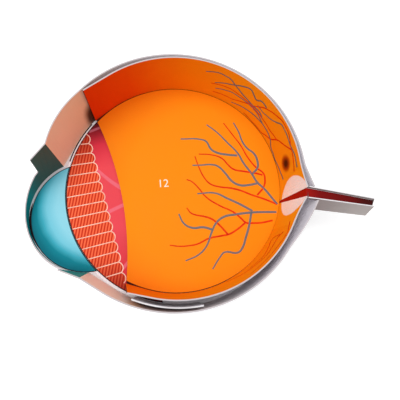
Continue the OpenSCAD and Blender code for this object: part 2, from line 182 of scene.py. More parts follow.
def ramp(tree, value, stops):
    """A colour ramp: stops are (place from 0 to 1, colour)."""
    node = add(tree, "ShaderNodeValToRGB", {"Fac": value})
    band = node.color_ramp
    band.elements[0].position, band.elements[0].color = stops[0]
    band.elements[1].position, band.elements[1].color = stops[-1]
    for position, colour in stops[1:-1]:
        band.elements.new(position).color = colour
    return node.outputs["Color"]


# %% [markdown]
# ## Card stock
#
# Card is never one flat colour. Its fibres make a fine grain that scatters the light, the ink
# lies a little unevenly, and handling leaves it faintly cloudy. That is an effect for every
# piece, so it is one node group with named sockets: a print goes in, and the same print comes
# out as it looks on card, with the roughness and the normal that go with it.

# %% Build the card stock group
def group_sockets(group, inputs, outputs):
    """Give a node group its sockets and return its input and output nodes."""
    for name, kind, value in inputs:
        socket = group.interface.new_socket(name, in_out="INPUT", socket_type=kind)
        socket.default_value = value
    for name, kind in outputs:
        group.interface.new_socket(name, in_out="OUTPUT", socket_type=kind)
    return group.nodes.new("NodeGroupInput"), group.nodes.new("NodeGroupOutput")


card_stock = bpy.data.node_groups.new("card stock", "ShaderNodeTree")
g_in, g_out = group_sockets(card_stock, [
    ("Print", "NodeSocketColor", (0.8, 0.8, 0.8, 1.0)),
    ("Grain", "NodeSocketFloat", 0.05),
    ("Clouding", "NodeSocketFloat", 0.05),
    ("Roughness", "NodeSocketFloat", 0.6),
    ("Bump", "NodeSocketFloat", 0.12),
], [
    ("Color", "NodeSocketColor"), ("Roughness", "NodeSocketFloat"),
    ("Normal", "NodeSocketVector"),
])
where = add(card_stock, "ShaderNodeTexCoord").outputs["Object"]
fibres = add(card_stock, "ShaderNodeTexNoise", {
    "Vector": where, "Scale": 1400.0, "Detail": 3.0, "Roughness": 0.6,
}).outputs["Fac"]
clouds = add(card_stock, "ShaderNodeTexNoise", {
    "Vector": where, "Scale": 55.0, "Detail": 2.0, "Roughness": 0.5,
}).outputs["Fac"]
grain = maths(card_stock, "MULTIPLY_ADD",
              maths(card_stock, "SUBTRACT", fibres, 0.5), g_in.outputs["Grain"], 1.0)
cloud = maths(card_stock, "MULTIPLY_ADD",
              maths(card_stock, "SUBTRACT", clouds, 0.5), g_in.outputs["Clouding"], 1.0)
uneven = maths(card_stock, "MULTIPLY", grain, cloud)
tone = add(card_stock, "ShaderNodeCombineColor", {0: uneven, 1: uneven, 2: uneven}).outputs[0]
card_stock.links.new(blend(card_stock, 1.0, g_in.outputs["Print"], tone, "MULTIPLY"),
                     g_out.inputs["Color"])
card_stock.links.new(
    maths(card_stock, "MULTIPLY_ADD", maths(card_stock, "SUBTRACT", clouds, 0.5), 0.16,
          g_in.outputs["Roughness"]), g_out.inputs["Roughness"])
dents = add(card_stock, "ShaderNodeBump", {
    "Strength": g_in.outputs["Bump"], "Distance": 0.00008, "Height": fibres,
})
card_stock.links.new(dents.outputs["Normal"], g_out.inputs["Normal"])
print("card stock:", len(card_stock.nodes), "nodes")

# %% [markdown]
# ## Which side is printed
#
# A wall of card has one printed side, and its back and its cut edges show the white pulp. The
# group compares the way a face points with the way out from the middle of its tray: inner
# faces point inward and carry the print, and the outer faces are bare card. The rim is a cut
# edge that looks up and has gathered a little grey from handling, and the two ends of a strip
# have a colour of their own, because ink creeps into them.

# %% Build the printed side groups
def polar_nodes(tree, centre):
    """The position relative to a centre, and the same laid flat, which points the way out."""
    here = add(tree, "ShaderNodeTexCoord").outputs["Object"]
    offset = add(tree, "ShaderNodeVectorMath", {
        0: here, 1: (centre[0] * MM, centre[1] * MM, 0.0),
    }, operation="SUBTRACT").outputs["Vector"]
    flat = add(tree, "ShaderNodeVectorMath", {
        0: offset, 1: (1.0, 1.0, 0.0),
    }, operation="MULTIPLY").outputs["Vector"]
    return offset, flat


def printed_side(name, centre):
    """A group that keeps a print to the faces that look toward the middle of a tray."""
    group = bpy.data.node_groups.new(name, "ShaderNodeTree")
    g_in, g_out = group_sockets(group, [
        ("Print", "NodeSocketColor", (0.8, 0.8, 0.8, 1.0)),
        ("Bare card", "NodeSocketColor", INKS["card"]),
        ("End", "NodeSocketColor", INKS["card_shade"]),
    ], [("Color", "NodeSocketColor")])
    _, flat = polar_nodes(group, centre)
    out = add(group, "ShaderNodeVectorMath", {0: flat}, operation="NORMALIZE").outputs["Vector"]
    facing = add(group, "ShaderNodeNewGeometry").outputs["True Normal"]
    toward = add(group, "ShaderNodeVectorMath", {0: facing, 1: out},
                 operation="DOT_PRODUCT").outputs["Value"]
    mask = maths(group, "LESS_THAN", toward, -0.5)
    rise = add(group, "ShaderNodeSeparateXYZ", {0: facing}).outputs["Z"]
    end = maths(group, "LESS_THAN", maths(group, "ABSOLUTE", toward), 0.5)
    colour = blend(group, mask, g_in.outputs["Bare card"], g_in.outputs["Print"])
    colour = blend(group, end, colour, g_in.outputs["End"])
    colour = blend(group, maths(group, "GREATER_THAN", rise, 0.7), colour, INKS["cut_edge"])
    group.links.new(colour, g_out.inputs["Color"])
    return group


sclera_side = printed_side("sclera printed side", (0.0, 0.0))
retina_side = printed_side("retina printed side", TRAY_CENTRE)
cornea_side = printed_side("cornea printed side", CORNEA_CENTRE)

printed_top = bpy.data.node_groups.new("printed top", "ShaderNodeTree")
g_in, g_out = group_sockets(printed_top, [
    ("Print", "NodeSocketColor", (0.8, 0.8, 0.8, 1.0)),
    ("Bare card", "NodeSocketColor", INKS["card"]),
    ("Least rise", "NodeSocketFloat", 0.5),
], [("Color", "NodeSocketColor")])
facing = add(printed_top, "ShaderNodeNewGeometry").outputs["True Normal"]
rise = add(printed_top, "ShaderNodeSeparateXYZ", {0: facing}).outputs["Z"]
mask = maths(printed_top, "GREATER_THAN", rise, g_in.outputs["Least rise"])
printed_top.links.new(blend(printed_top, mask, g_in.outputs["Bare card"], g_in.outputs["Print"]),
                      g_out.inputs["Color"])
print("printed side groups:", len(bpy.data.node_groups))

# %% [markdown]
# ## A starting point for every material
#
# Each material gets its own Principled shader, and the card stock group in front of it. The
# print is a colour that the material works out for itself. Matt art paper has a broad, weak
# gloss, so the specular level is set low on the shader's own socket.

# %% Define the card material helper
def new_material(name):
    """An empty node material with a Principled shader; returns the tree and the shader."""
    material = bpy.data.materials.new(name)
    material.use_nodes = True
    tree = material.node_tree
    shader = next(n for n in tree.nodes if n.type == "BSDF_PRINCIPLED")
    shader.inputs["Specular IOR Level"].default_value = 0.1
    return material, tree, shader


def on_card(tree, shader, colour, grain=0.06, clouding=0.05, bump=0.12):
    """Finish a print: pass it through the card stock group into the shader."""
    stock = add(tree, "ShaderNodeGroup", node_tree=card_stock)
    for key, value in (("Grain", grain), ("Clouding", clouding), ("Bump", bump)):
        stock.inputs[key].default_value = value
    if isinstance(colour, bpy.types.NodeSocket):
        tree.links.new(colour, stock.inputs["Print"])
    else:
        stock.inputs["Print"].default_value = colour
    tree.links.new(stock.outputs["Color"], shader.inputs["Base Color"])
    tree.links.new(stock.outputs["Roughness"], shader.inputs["Roughness"])
    tree.links.new(stock.outputs["Normal"], shader.inputs["Normal"])


def side_print(tree, group, colour, end=INKS["card_shade"]):
    """Keep a print to the printed side of a card."""
    node = add(tree, "ShaderNodeGroup", node_tree=group)
    tree.links.new(colour, node.inputs["Print"])
    node.inputs["End"].default_value = end
    return node.outputs["Color"]


def dress(material, *names):
    """Give CAD nodes a material."""
    for name in names:
        nodes[name].data.materials.clear()
        nodes[name].data.materials.append(material)
    print(material.name, "on", ", ".join(names))


# %% [markdown]
# ## Angles and distances on a round tray
#
# A print that runs round a wall is a function of the angle, and one on a round sheet is a
# function of the distance from its centre. Both come from the Object coordinates, which are
# the same for every piece, because each object sits at the origin.

# %% Define the angle and distance helpers
def angle_and_height(tree, centre, turn=0.0):
    """The angle round a centre in degrees, -180 to 180, and the height in millimetres."""
    offset, _ = polar_nodes(tree, centre)
    turned = add(tree, "ShaderNodeVectorRotate", {
        "Vector": offset, "Center": (0.0, 0.0, 0.0), "Axis": (0.0, 0.0, 1.0),
        "Angle": -math.radians(turn),
    }).outputs["Vector"]
    parts = add(tree, "ShaderNodeSeparateXYZ", {0: turned})
    angle = maths(tree, "ARCTAN2", parts.outputs["Y"], parts.outputs["X"])
    degrees = maths(tree, "MULTIPLY", angle, 180.0 / math.pi)
    height = maths(tree, "MULTIPLY", parts.outputs["Z"], 1.0 / MM)
    return degrees, height


def plan(tree, centre=(0.0, 0.0), turn=0.0):
    """Position across the plan in millimetres, from a centre, in a turned frame."""
    _, flat = polar_nodes(tree, centre)
    turned = add(tree, "ShaderNodeVectorRotate", {
        "Vector": flat, "Center": (0.0, 0.0, 0.0), "Axis": (0.0, 0.0, 1.0),
        "Angle": -math.radians(turn),
    }).outputs["Vector"]
    parts = add(tree, "ShaderNodeSeparateXYZ", {0: turned})
    x = maths(tree, "MULTIPLY", parts.outputs["X"], 1.0 / MM)
    y = maths(tree, "MULTIPLY", parts.outputs["Y"], 1.0 / MM)
    return x, y


def reach(tree, x, y):
    """Distance from the centre of a plan."""
    return maths(tree, "SQRT", maths(tree, "ADD", maths(tree, "MULTIPLY", x, x),
                                     maths(tree, "MULTIPLY", y, y)))


def wobble(tree, value, size, scale=90.0):
    """Shift a value a little, so that a printed edge isn't ruler-straight."""
    here = add(tree, "ShaderNodeTexCoord").outputs["Object"]
    noise = add(tree, "ShaderNodeTexNoise", {"Vector": here, "Scale": scale}).outputs["Fac"]
    return maths(tree, "MULTIPLY_ADD", maths(tree, "SUBTRACT", noise, 0.5), size, value)


# %% [markdown]
# ## Bare card and the base board
#
# The support strip and the nerve's sheath are plain white card. The sheath's side flaps, and
# every face of it that doesn't look up, are greyer, above all close to the eye: that grey is
# painted shade. The base board is thicker and a shade darker, and shows as a pale margin
# between the walls' feet and the printed sheets; at the outer wall's foot it is greyed with
# painted shade.

# %% Dress the bare card
white_card, tree, shader = new_material("white card")
here = add(tree, "ShaderNodeTexCoord").outputs["Object"]
scuffs = add(tree, "ShaderNodeTexNoise", {"Vector": here, "Scale": 70.0, "Detail": 3.0})
soiled = blend(tree, fade(tree, scuffs.outputs["Fac"], 0.3, 0.9),
               INKS["card"], INKS["card_shade"])
on_card(tree, shader, soiled, grain=0.08, bump=0.2)
dress(white_card, "support_strip")

sheath, tree, shader = new_material("sheath card")
x, y = plan(tree, TRAY_CENTRE, TRAY_TURN + NERVE_TURN)
# Painted shade: the faces that don't look up get a grey, darkest close to the eye.
flap_shade = blend(tree, fade(tree, wobble(tree, x, 8.0, 120.0), 84.0, 116.0),
             ink(158, 144, 142), ink(190, 181, 178))
top = add(tree, "ShaderNodeGroup", node_tree=printed_top)
top.inputs["Print"].default_value = INKS["card"]
top.inputs["Least rise"].default_value = 0.7
tree.links.new(flap_shade, top.inputs["Bare card"])
on_card(tree, shader, top.outputs["Color"], grain=0.08, clouding=0.2, bump=0.2)
dress(sheath, "nerve_sheath")

board, tree, shader = new_material("base board")
x, y = plan(tree)
# Painted shade: the board greys toward the outer wall's foot.
edge = fade(tree, reach(tree, x, y), SCLERA_RADIUS - 0.5, SCLERA_RADIUS - 0.1)
on_card(tree, shader, blend(tree, maths(tree, "MULTIPLY", edge, 0.5),
                            INKS["board"], INKS["card_shade"]), grain=0.1, bump=0.3)
dress(board, "base_board")

foam, tree, shader = new_material("foam pad")
here = add(tree, "ShaderNodeTexCoord").outputs["Object"]
cells = add(tree, "ShaderNodeTexVoronoi", {"Vector": here, "Scale": 1500.0}).outputs["Distance"]
pores = blend(tree, fade(tree, cells, 0.1, 0.6), INKS["card_shade"], INKS["foam"])
tree.links.new(pores, shader.inputs["Base Color"])
pits = add(tree, "ShaderNodeBump", {"Strength": 0.6, "Distance": 0.0003, "Height": cells})
tree.links.new(pits.outputs["Normal"], shader.inputs["Normal"])
shader.inputs["Roughness"].default_value = 0.85
dress(foam, "pad_front_upper", "pad_front_lower", "pad_back_upper", "pad_back_lower")

# %% [markdown]
# ## The white coat of the eye
#
# Inside, the outer wall is printed salmon near the cornea. Low down on the wall, where the
# retina tray begins, it darkens to brown: a painted shadow of the tray's end. The greys just
# behind that, toward the back, are painted shade, and further back the card is a cool, pale
# lilac. Nearly all of it depends on the angle round the eyeball, so one ramp holds the run from
# the cornea to the back, and the painted shadow is laid over it as a brown patch.

# %% Dress the outer wall
# The painted shadow, a brown patch: its place round the wall, where 1 is the cornea's side, and
# its height
TRAY_SHADOW_TURN = 0.684
TRAY_SHADOW_HALF_TURN = 0.036
TRAY_SHADOW_HEIGHT = 8.0
TRAY_SHADOW_HALF_HEIGHT = 20.0

sclera, tree, shader = new_material("sclera card")
angle, height = angle_and_height(tree, (0.0, 0.0))
round_wall = maths(tree, "DIVIDE", maths(tree, "ABSOLUTE", angle), 180.0)
# The greys just before the salmon are painted shade in the gap behind the retina tray.
run = ramp(tree, wobble(tree, round_wall, 0.01), [
    (0.0, ink(252, 248, 255)),
    (0.30, ink(252, 246, 252)),
    (0.48, ink(228, 220, 222)),
    (0.64, ink(214, 190, 184)),
    (0.672, ink(206, 180, 172)),
    (0.690, ink(240, 202, 172)),
    (0.720, ink(244, 206, 176)),
    (0.80, ink(250, 214, 188)),
    (1.0, ink(252, 220, 198)),
])
x, y = plan(tree)
printed = fade(tree, round_wall, 0.70, 0.73)
run = blend(tree, maths(tree, "MULTIPLY", printed, fade(tree, y, 5.0, -25.0)), run,
            ink(255, 246, 236))
# Painted shadow of the tray's end, laid over the ramp as a soft brown patch.
shadow_across = maths(tree, "DIVIDE", maths(tree, "SUBTRACT", round_wall, TRAY_SHADOW_TURN),
                     TRAY_SHADOW_HALF_TURN)
shadow_up = maths(tree, "DIVIDE", maths(tree, "SUBTRACT", height, TRAY_SHADOW_HEIGHT),
                 TRAY_SHADOW_HALF_HEIGHT)
tray_shadow = fade(tree, wobble(tree, reach(tree, shadow_across, shadow_up), 0.15), 0.95, 0.3)
run = blend(tree, tray_shadow, run, ink(84, 48, 34))
on_card(tree, shader, side_print(tree, sclera_side, run), clouding=0.06)
dress(sclera, "sclera_wall_upper", "sclera_wall_lower")

# %% [markdown]
# ## The cornea
#
# The cornea's strip is dark teal. It is nearly black-green high up at the upper tab, and turns
# to a lighter blue-green toward the lower one.

# %% Dress the cornea's strip
cornea, tree, shader = new_material("cornea card")
angle, height = angle_and_height(tree, CORNEA_CENTRE)
x, y = plan(tree, CORNEA_CENTRE)
across = fade(tree, y, 44.0, -40.0)
run = ramp(tree, across, [
    (0.0, ink(70, 92, 84)),
    (0.08, ink(60, 100, 94)),
    (0.20, ink(14, 146, 148)),
    (0.6, ink(6, 140, 148)),
    (0.9, ink(20, 148, 150)),
    (1.0, ink(36, 154, 154)),
])
on_card(tree, shader, side_print(tree, cornea_side, run), clouding=0.05)
dress(cornea, "cornea_wall")

# %% [markdown]
# ## The space behind the cornea
#
# A printed sheet shades the space behind the cornea like a glass dome: pale blue in the middle
# and deep teal along the rim, thickest at the side away from the light. Two distances make
# that: one from the sheet's own centre, for the dark outline, and one from a centre that is
# shifted toward the lens, for the shading.

# %% Dress the aqueous sheet
DOME_CENTRE = (-52.0, 5.0)
DOME_RADIUS = 45.0

aqueous, tree, shader = new_material("aqueous print")
x, y = plan(tree, DOME_CENTRE)
shade = maths(tree, "DIVIDE", wobble(tree, reach(tree, x, y), 5.0, 45.0), DOME_RADIUS)
dome = ramp(tree, shade, [
    (0.0, ink(160, 226, 242)),
    (0.62, ink(148, 220, 238)),
    (0.75, ink(120, 206, 226)),
    (0.83, ink(64, 174, 194)),
    (0.90, ink(10, 132, 148)),
    (1.0, ink(0, 112, 128)),
])
x, y = plan(tree, AQUEOUS_CENTRE)
rim = fade(tree, reach(tree, x, y), AQUEOUS_RADIUS - 0.7, AQUEOUS_RADIUS - 0.3)
lined = blend(tree, rim, dome, INKS["dark_line"])
x, y = plan(tree)
eye_line = fade(tree, reach(tree, x, y), EYE_SHEET_RADIUS + 0.9, EYE_SHEET_RADIUS + 0.4)
top = add(tree, "ShaderNodeGroup", node_tree=printed_top)
tree.links.new(blend(tree, eye_line, lined, INKS["dark_line"]), top.inputs["Print"])
on_card(tree, shader, top.outputs["Color"], grain=0.05)
dress(aqueous, "aqueous_sheet")

# %% [markdown]
# ## The striped band
#
# The band behind the iris is printed in slanted red stripes. A stripe is a wave across a
# turned plan: its phase is the distance across the stripes divided by their pitch. The band
# is darker toward its two ends, next to the walls, and that darkening is painted shade.

# %% Dress the striped band
STRIPE_PITCH = 1.93
STRIPE_LEAN = 66.0

ciliary, tree, shader = new_material("ciliary print")
x, y = plan(tree, (0.0, 0.0), STRIPE_LEAN)
phase = maths(tree, "MULTIPLY", wobble(tree, y, 0.3, 300.0), 2.0 * math.pi / STRIPE_PITCH)
wave = maths(tree, "MULTIPLY_ADD", maths(tree, "SINE", phase), 0.5, 0.5)
stripes = blend(tree, fade(tree, wave, 0.25, 0.75), ink(206, 50, 22), ink(255, 112, 70))
x, y = plan(tree)
# Painted shade: the stripes darken toward both ends, next to the walls.
ends = fade(tree, maths(tree, "ABSOLUTE", y), 24.0, 56.0)
end_shaded_stripes = blend(tree, maths(tree, "MULTIPLY", ends, 0.7), stripes, ink(140, 20, 14))
dark_line = fade(tree, reach(tree, x, y), EYE_SHEET_RADIUS - 0.8, EYE_SHEET_RADIUS - 0.4)
top = add(tree, "ShaderNodeGroup", node_tree=printed_top)
tree.links.new(blend(tree, dark_line, end_shaded_stripes, INKS["dark_line"]), top.inputs["Print"])
on_card(tree, shader, top.outputs["Color"], grain=0.05)
dress(ciliary, "ciliary_sheet")

# %% [markdown]
# ## The lens
#
# The lens is pink and deep red toward both ends, where that red is painted shade, with a few
# pale rays across it, as light would fall through it. A ray is a straight band with soft sides,
# so it is one node group with a place, a direction, a width and a length, used once for each ray.

# %% Dress the lens sheet
ray = bpy.data.node_groups.new("ray", "ShaderNodeTree")
g_in, g_out = group_sockets(ray, [
    ("X", "NodeSocketFloat", 0.0), ("Y", "NodeSocketFloat", 0.0),
    ("Middle X", "NodeSocketFloat", 0.0), ("Middle Y", "NodeSocketFloat", 0.0),
    ("Slope", "NodeSocketFloat", 0.0), ("Bend", "NodeSocketFloat", 0.0),
    ("Half width", "NodeSocketFloat", 1.0), ("Half length", "NodeSocketFloat", 8.0),
], [("Mask", "NodeSocketFloat")])
dx = maths(ray, "SUBTRACT", g_in.outputs["X"], g_in.outputs["Middle X"])
dy = maths(ray, "SUBTRACT", g_in.outputs["Y"], g_in.outputs["Middle Y"])
path = maths(ray, "ADD", maths(ray, "MULTIPLY", dx, g_in.outputs["Slope"]),
             maths(ray, "MULTIPLY", maths(ray, "MULTIPLY", dx, dx), g_in.outputs["Bend"]))
off = maths(ray, "DIVIDE", maths(ray, "ABSOLUTE", maths(ray, "SUBTRACT", dy, path)),
            g_in.outputs["Half width"])
along = maths(ray, "DIVIDE", maths(ray, "ABSOLUTE", dx), g_in.outputs["Half length"])
ray.links.new(maths(ray, "MULTIPLY", fade(ray, off, 1.0, 0.55), fade(ray, along, 1.0, 0.7)),
              g_out.inputs["Mask"])

lens, tree, shader = new_material("lens print")
x, y = plan(tree)
ends = maths(tree, "MULTIPLY_ADD", maths(tree, "DIVIDE", y, 70.0), 0.5, 0.5)
# Painted shade: the pink darkens to deep red toward both ends.
pink = ramp(tree, ends, [
    (0.05, ink(120, 16, 24)),
    (0.16, ink(210, 48, 62)),
    (0.4, ink(236, 76, 88)),
    (0.7, ink(236, 76, 86)),
    (0.82, ink(214, 50, 70)),
    (0.88, ink(156, 30, 44)),
    (0.93, ink(92, 14, 22)),
])
# middle x, middle y, slope, bend, half width, half length
RAYS = [
    (-43.0, 20.0, -1.38, 0.03, 2.4, 9.0),
    (-43.8, -0.8, 0.19, 0.0, 1.5, 9.0),
    (-47.0, -39.0, 0.7, 0.0, 1.6, 6.0),
    (-43.5, 56.3, 0.15, 0.0, 1.1, 4.5),
]
RAY_SOCKETS = ("Middle X", "Middle Y", "Slope", "Bend", "Half width", "Half length")
for values in RAYS:
    streak = add(tree, "ShaderNodeGroup", node_tree=ray)
    tree.links.new(x, streak.inputs["X"])
    tree.links.new(y, streak.inputs["Y"])
    for key, value in zip(RAY_SOCKETS, values):
        streak.inputs[key].default_value = value
    pink = blend(tree, maths(tree, "MULTIPLY", streak.outputs["Mask"], 0.35), pink,
                 ink(246, 150, 172))
dark_line = fade(tree, reach(tree, x, y), EYE_SHEET_RADIUS - 0.8, EYE_SHEET_RADIUS - 0.4)
top = add(tree, "ShaderNodeGroup", node_tree=printed_top)
tree.links.new(blend(tree, dark_line, pink, INKS["dark_line"]), top.inputs["Print"])
on_card(tree, shader, top.outputs["Color"], grain=0.05)
dress(lens, "lens_sheet")

# %% [markdown]
# ## The retina's floor and wall
#
# The retina is orange. Its floor is brightest in the middle and a little darker toward the
# edges: painted light that falls off into painted shade. The wall is deep red-orange at its
# upper end and warms to the floor's colour toward the back, so it is again a ramp over the angle.

# %% Dress the retina's floor
# How dark the line along the fold is, by place round the tray: 0 at -180 degrees, 1 at 180
FOLD_STRENGTH = [
    (0.13, 1.0), (0.29, 1.0), (0.34, 0.35), (0.42, 0.3), (0.5, 0.8), (0.6, 0.85), (0.75, 0.85),
    (0.8, 1.0), (0.86, 1.0),
]
# Where the painted light on the orange is brightest, in the tray's frame
PAINTED_LIGHT_CENTRE = (24.0, -8.0)

retina_floor, tree, shader = new_material("retina floor print")
x, y = plan(tree, TRAY_CENTRE, TRAY_TURN)
spot_x = maths(tree, "SUBTRACT", x, PAINTED_LIGHT_CENTRE[0])
spot_y = maths(tree, "SUBTRACT", y, PAINTED_LIGHT_CENTRE[1])
# Painted shade: the orange darkens from this pale middle toward the edges.
painted_light_falloff = fade(tree, wobble(tree, reach(tree, spot_x, spot_y), 14.0, 30.0), 92.0, 56.0)
orange = blend(tree, painted_light_falloff, ink(236, 116, 0), ink(252, 145, 6))
angle, height = angle_and_height(tree, TRAY_CENTRE, TRAY_TURN)
round_floor = maths(tree, "MULTIPLY_ADD", angle, 1.0 / 360.0, 0.5)
strength = ramp(tree, round_floor, [(turn, (v, v, v, 1.0)) for turn, v in FOLD_STRENGTH])
line = fade(tree, maths(tree, "MULTIPLY_ADD", strength, 0.45, reach(tree, x, y)),
            TRAY_RADIUS - 0.15, TRAY_RADIUS + 0.1)
orange = blend(tree, maths(tree, "MULTIPLY", line, strength), orange, INKS["fold"])
top = add(tree, "ShaderNodeGroup", node_tree=printed_top)
tree.links.new(orange, top.inputs["Print"])
on_card(tree, shader, top.outputs["Color"], grain=0.05, clouding=0.05)
dress(retina_floor, "retina_floor")

# %% Dress the retina's wall
MACULA_ANGLE = -2.2
MACULA_HEIGHT = 19.6
MACULA_HALF_ANGLE = 3.2
MACULA_HALF_HEIGHT = 5.0


def with_macula(tree, angle, height, colour):
    """Lay the dark oval spot over a print. It runs on over the seam beside the disc."""
    across = maths(tree, "DIVIDE", maths(tree, "SUBTRACT", angle, MACULA_ANGLE),
                   MACULA_HALF_ANGLE)
    up = maths(tree, "DIVIDE", maths(tree, "SUBTRACT", height, MACULA_HEIGHT),
               MACULA_HALF_HEIGHT)
    away = reach(tree, across, up)
    ringed = blend(tree, fade(tree, away, 1.7, 0.9), colour, INKS["macula_ring"])
    return blend(tree, fade(tree, away, 1.1, 0.3), ringed, INKS["macula"])


retina_wall, tree, shader = new_material("retina wall print")
angle, height = angle_and_height(tree, TRAY_CENTRE, TRAY_TURN)
round_wall = maths(tree, "MULTIPLY_ADD", angle, 1.0 / 360.0, 0.5)
run = ramp(tree, wobble(tree, round_wall, 0.015), [
    (0.14, ink(250, 114, 4)),
    (0.26, ink(248, 150, 8)),
    (0.50, ink(255, 158, 12)),
    (0.62, ink(253, 158, 14)),
    (0.70, ink(252, 138, 4)),
    (0.79, ink(238, 82, 2)),
    (0.86, ink(230, 54, 0)),
])
run = with_macula(tree, angle, height, run)
on_card(tree, shader, side_print(tree, retina_side, run, INKS["burnt_edge"]), clouding=0.05)
dress(retina_wall, "retina_wall_upper", "retina_wall_lower")

# %% [markdown]
# ## The optic disc and the nerve
#
# Where the nerve leaves, the wall's two ends bend out and share a pale oval, the optic disc.
# The oval is an ellipse in angle and height, cut in two by the slit that the nerve's strip
# comes through. The strip is deep red and browner toward its far end.

# %% Dress the optic disc and the nerve
DISC_HALF_ANGLE = 10.0
DISC_HEIGHT = 24.5
DISC_HALF_HEIGHT = 17.5
NERVE_LENGTH = 48.0

disc, tree, shader = new_material("optic disc print")
angle, height = angle_and_height(tree, TRAY_CENTRE, TRAY_TURN)
across = maths(tree, "DIVIDE", maths(tree, "SUBTRACT", angle, NERVE_TURN), DISC_HALF_ANGLE)
up = maths(tree, "DIVIDE", maths(tree, "SUBTRACT", height, DISC_HEIGHT), DISC_HALF_HEIGHT)
oval = fade(tree, wobble(tree, reach(tree, across, up), 0.05, 200.0), 1.03, 0.97)
rosy = blend(tree, fade(tree, height, 8.0, 36.0), ink(255, 246, 240), INKS["disc"])
around = with_macula(tree, angle, height, ink(255, 164, 14))
run = blend(tree, oval, around, rosy)
on_card(tree, shader, side_print(tree, retina_side, run))
dress(disc, "optic_disc_upper", "optic_disc_lower")

nerve, tree, shader = new_material("nerve print")
x, y = plan(tree, TRAY_CENTRE, TRAY_TURN + NERVE_TURN)
along = maths(tree, "DIVIDE", maths(tree, "SUBTRACT", x, TRAY_RADIUS), NERVE_LENGTH)
run = ramp(tree, wobble(tree, along, 0.12, 120.0), [
    (0.0, ink(176, 22, 4)),
    (0.13, ink(166, 18, 6)),
    (0.3, ink(128, 8, 8)),
    (0.7, ink(104, 8, 8)),
    (0.9, ink(72, 8, 4)),
    (1.0, ink(64, 12, 8)),
])
top = add(tree, "ShaderNodeGroup", node_tree=printed_top)
top.inputs["Least rise"].default_value = 0.1
tree.links.new(run, top.inputs["Print"])
on_card(tree, shader, top.outputs["Color"])
dress(nerve, "nerve_strip")

# %% [markdown]
# ## Blood vessels
#
# The vessels are fine lines of ink with a little body. Each is drawn as a pen would: a Bezier
# curve is added, cut back to one point, and extruded from point to point, with automatic
# handles so that it flows. A bevel gives the line its thickness. On the floor, as a mesh, it is
# pressed flat against the card; on the wall it is a thin ribbon that stands on edge. The floor's
# veins become one piece and its arteries another, and so do the wall's.

# %% Define the pen
def pen_line(name, points, half_width, thickness=None, taper=0.4):
    """Draw one line through the points, in metres. With a thickness it is a ribbon that stands
    on edge, as on a wall; without one it is round. It thins toward its first point."""
    bpy.ops.object.select_all(action="DESELECT")
    bpy.ops.curve.primitive_bezier_curve_add(radius=MM, location=(0.0, 0.0, 0.0))
    line = bpy.context.object
    line.name = name
    bpy.ops.object.mode_set(mode="EDIT")
    bpy.ops.curve.select_all(action="DESELECT")
    line.data.splines[0].bezier_points[1].select_control_point = True
    bpy.ops.curve.delete(type="VERT")
    line.data.splines[0].bezier_points[0].co = points[0]
    bpy.ops.curve.select_all(action="SELECT")
    for here, there in zip(points, points[1:]):
        bpy.ops.curve.extrude_move(TRANSFORM_OT_translate={"value": there - here})
    bpy.ops.curve.select_all(action="SELECT")
    bpy.ops.curve.handle_type_set(type="AUTOMATIC")
    bpy.ops.object.mode_set(mode="OBJECT")
    marks = line.data.splines[0].bezier_points
    for i, mark in enumerate(marks):
        mark.radius = 1.0 - taper + taper * min(1.0, 1.6 * i / (len(marks) - 1))
    line.data.dimensions = "3D"
    line.data.twist_mode = "Z_UP"
    line.data.resolution_u = 5
    line.data.use_fill_caps = True
    if thickness is None:
        line.data.bevel_depth = half_width * MM
        line.data.bevel_resolution = 1
    else:
        line.data.extrude = half_width * MM
        line.data.bevel_depth = thickness / 2.0 * MM
        line.data.bevel_resolution = 0
    return line


def finish_lines(name, lines, press=None, level=0.0):
    """Join pen lines into one mesh, and press it flat toward a level in millimetres."""
    bpy.ops.object.select_all(action="DESELECT")
    for line in lines:
        line.select_set(True)
    bpy.context.view_layer.objects.active = lines[0]
    bpy.ops.object.convert(target="MESH")
    bpy.ops.object.join()
    drawing = bpy.context.object
    drawing.name = name
    if press is not None:
        bpy.ops.object.mode_set(mode="EDIT")
        bpy.ops.mesh.select_all(action="SELECT")
        bpy.ops.transform.resize(value=(1.0, 1.0, press), center_override=(0.0, 0.0, level * MM))
        bpy.ops.object.mode_set(mode="OBJECT")
    bpy.ops.object.shade_smooth_by_angle(angle=math.radians(50.0))
    return drawing


def hand_over(piece, material, body):
    """Dress a finished piece and hand it to the body that carries it."""
    piece.data.materials.clear()
    piece.data.materials.append(material)
    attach(piece, body)
    print(piece.name, "on", body, "with", len(piece.data.polygons), "faces")


def printed_line(name, colour, second):
    """A material for a printed line: its ink, a little uneven."""
    material, tree, shader = new_material(name)
    here = add(tree, "ShaderNodeTexCoord").outputs["Object"]
    patches = add(tree, "ShaderNodeTexNoise", {"Vector": here, "Scale": 260.0, "Detail": 2.0})
    on_card(tree, shader, blend(tree, fade(tree, patches.outputs["Fac"], 0.35, 0.65),
                                colour, second))
    return material


# %% Draw the vessels of the floor
# Points (x, y) in the tray's frame, in millimetres, from the tip to the trunk
FLOOR_VEINS = [
    [(9, 32), (23, 29), (26, 27), (28, 21), (31, 18), (38, 15), (45, 13)],
    [(29, 39), (35, 32), (40, 24), (46, 14), (48, 7), (52, -2), (54, -8), (58, -14), (62, -22),
     (64, -26)],
    [(48, 37), (50, 30), (51, 22), (53, 17), (57, 12), (58, 7), (57, 2), (52, -2)],
    [(13, 12), (19, 11), (26, 10), (30, 8), (34, 2), (37, -4), (42, -8), (48, -9), (54, -9)],
    [(12, -8), (24, -10), (31, -15), (39, -21), (46, -27)],
    [(-5, -50), (4, -48), (10, -44), (16, -35), (20, -30), (26, -27), (34, -27), (46, -28),
     (62, -31)],
    [(-3, -19), (-1, -26), (4, -30), (11, -31), (17, -34)],
    [(11, -59), (18, -52), (21, -50), (30, -52), (34, -49), (37, -44), (41, -37), (45, -28)],
]
